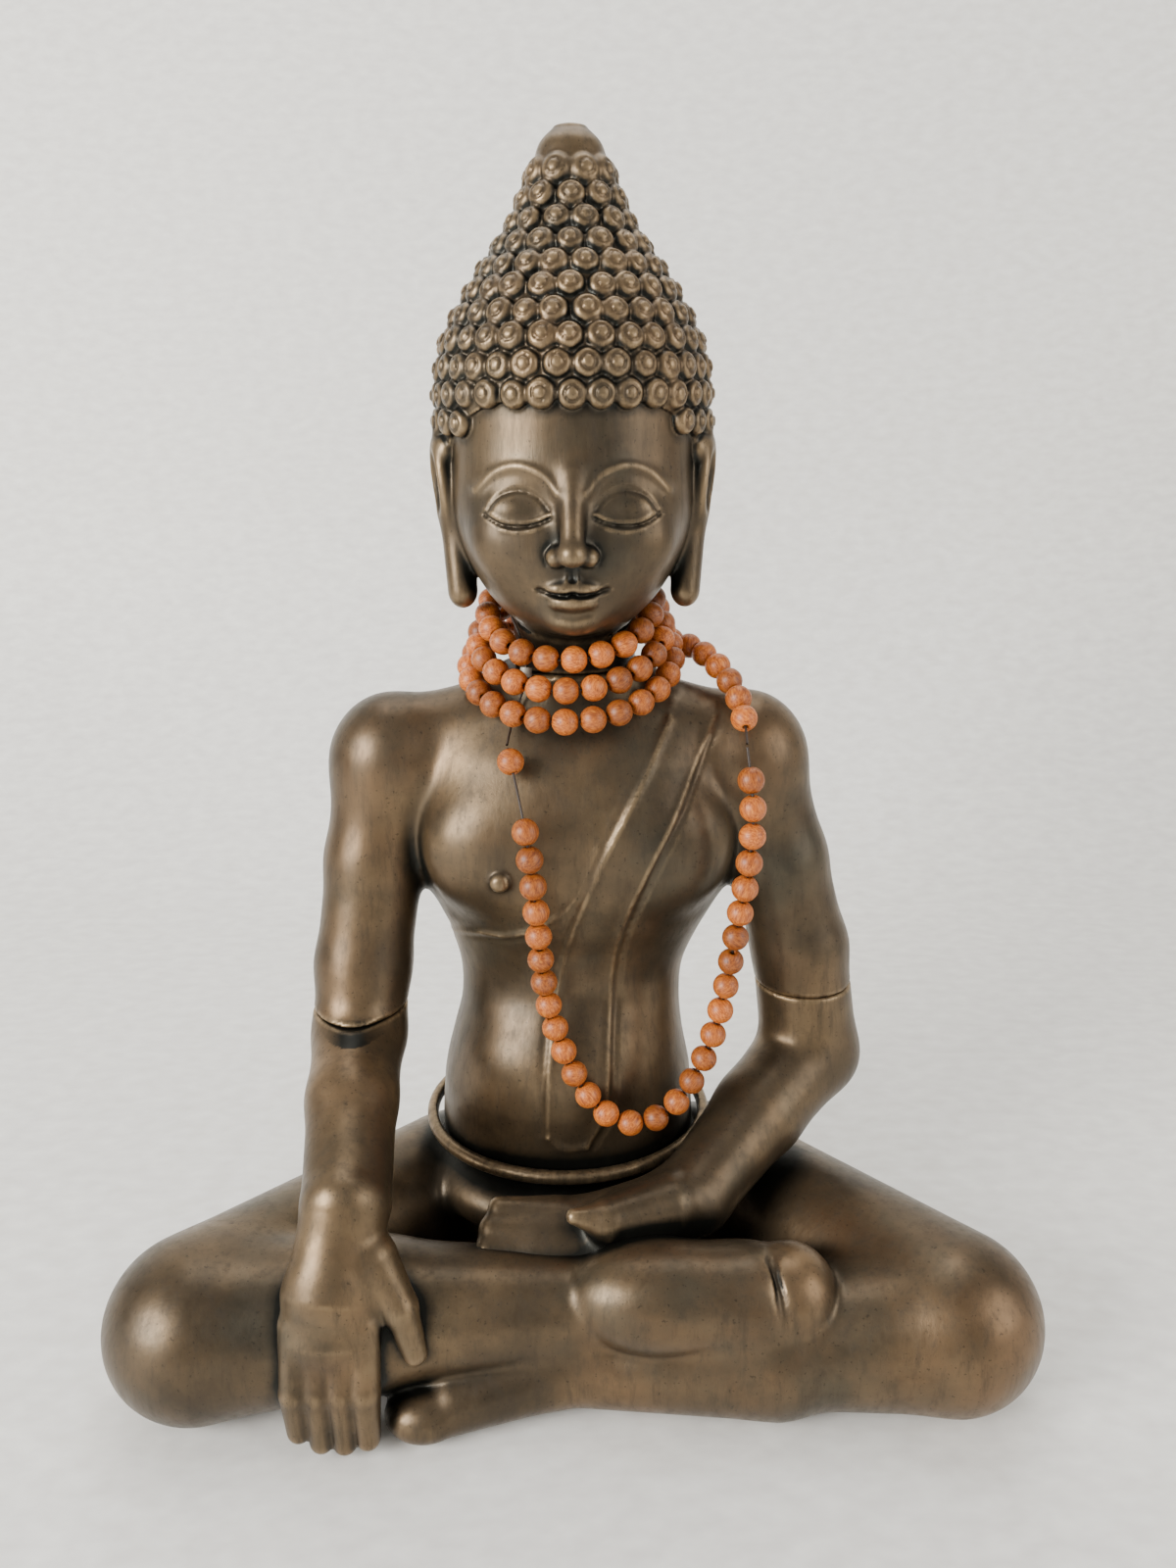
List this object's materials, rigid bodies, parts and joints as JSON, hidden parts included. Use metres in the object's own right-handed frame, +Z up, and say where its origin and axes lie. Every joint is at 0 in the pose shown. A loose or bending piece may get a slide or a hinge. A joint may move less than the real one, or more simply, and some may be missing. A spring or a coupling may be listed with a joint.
{
  "type": "buddha statue",
  "caption": "Seated cross-legged figure in a bronze finish, cast hollow in sections, wearing a wooden bead string wound about the neck with one loop hanging over the chest.",
  "frame": {"origin": "middle of the underside of the figure, on the surface it stands on, measured without the bead string", "axes": "+Z up, the figure faces -Y, +X is the figure's left"},
  "size_m": [0.287, 0.1544, 0.372],
  "materials": {
    "bronze_finish": "cast resin plaster painted antique bronze, dark green-black in the hollows, rubbed gold-brown on the high points",
    "bead_wood": "turned wood with fine grain, satin",
    "string": "thin dark waxed cord",
    "crimp": "small dull metal crimp",
    "pin": "plain dowel",
    "hardboard": "plain hardboard",
    "felt": "dark green felt"
  },
  "bodies": {
    "statue": {"legs_casting": "bronze_finish", "torso_casting": "bronze_finish", "head_casting": "bronze_finish", "right_forearm": "bronze_finish", "left_forearm": "bronze_finish", "right_elbow_pin": "pin", "left_elbow_pin": "pin", "base_plate": "hardboard", "base_felt": "felt", "neck_string": "string", "shoulder_strand_beads": "bead_wood", "lower_neck_beads": "bead_wood", "middle_neck_beads": "bead_wood", "upper_neck_beads": "bead_wood", "crimp_bead": "crimp"},
    "mala_loop": {"loop_string": "string", "loop_bead_01": "bead_wood", "loop_bead_02": "bead_wood", "loop_bead_03": "bead_wood", "loop_bead_04": "bead_wood", "loop_bead_05": "bead_wood", "loop_bead_06": "bead_wood", "loop_bead_07": "bead_wood", "loop_bead_08": "bead_wood", "loop_bead_09": "bead_wood", "loop_bead_10": "bead_wood", "loop_bead_11": "bead_wood", "loop_bead_12": "bead_wood", "loop_bead_13": "bead_wood", "loop_bead_14": "bead_wood", "loop_bead_15": "bead_wood", "loop_bead_16": "bead_wood", "loop_bead_17": "bead_wood", "loop_bead_18": "bead_wood", "loop_bead_19": "bead_wood", "loop_bead_20": "bead_wood", "loop_bead_21": "bead_wood", "loop_bead_22": "bead_wood", "loop_bead_23": "bead_wood", "loop_bead_24": "bead_wood", "loop_bead_25": "bead_wood", "loop_bead_26": "bead_wood", "loop_bead_27": "bead_wood", "loop_bead_28": "bead_wood", "loop_bead_29": "bead_wood"},
    "loose_bead": {"loose_bead": "bead_wood"}
  },
  "joints": [
    {"name": "mala_loop_swing", "type": "hinge", "parent": "statue", "child": "mala_loop", "pos_m": [-0.0195, -0.001, 0.1975], "axis": [-0.9996, 0.0276, -0.0069], "range_deg": [0, 60]},
    {"name": "loose_bead_slide", "type": "slide", "parent": "mala_loop", "child": "loose_bead", "axis": [0.2238, -0.6434, -0.732], "range_m": [0, 0.008]}
  ]
}
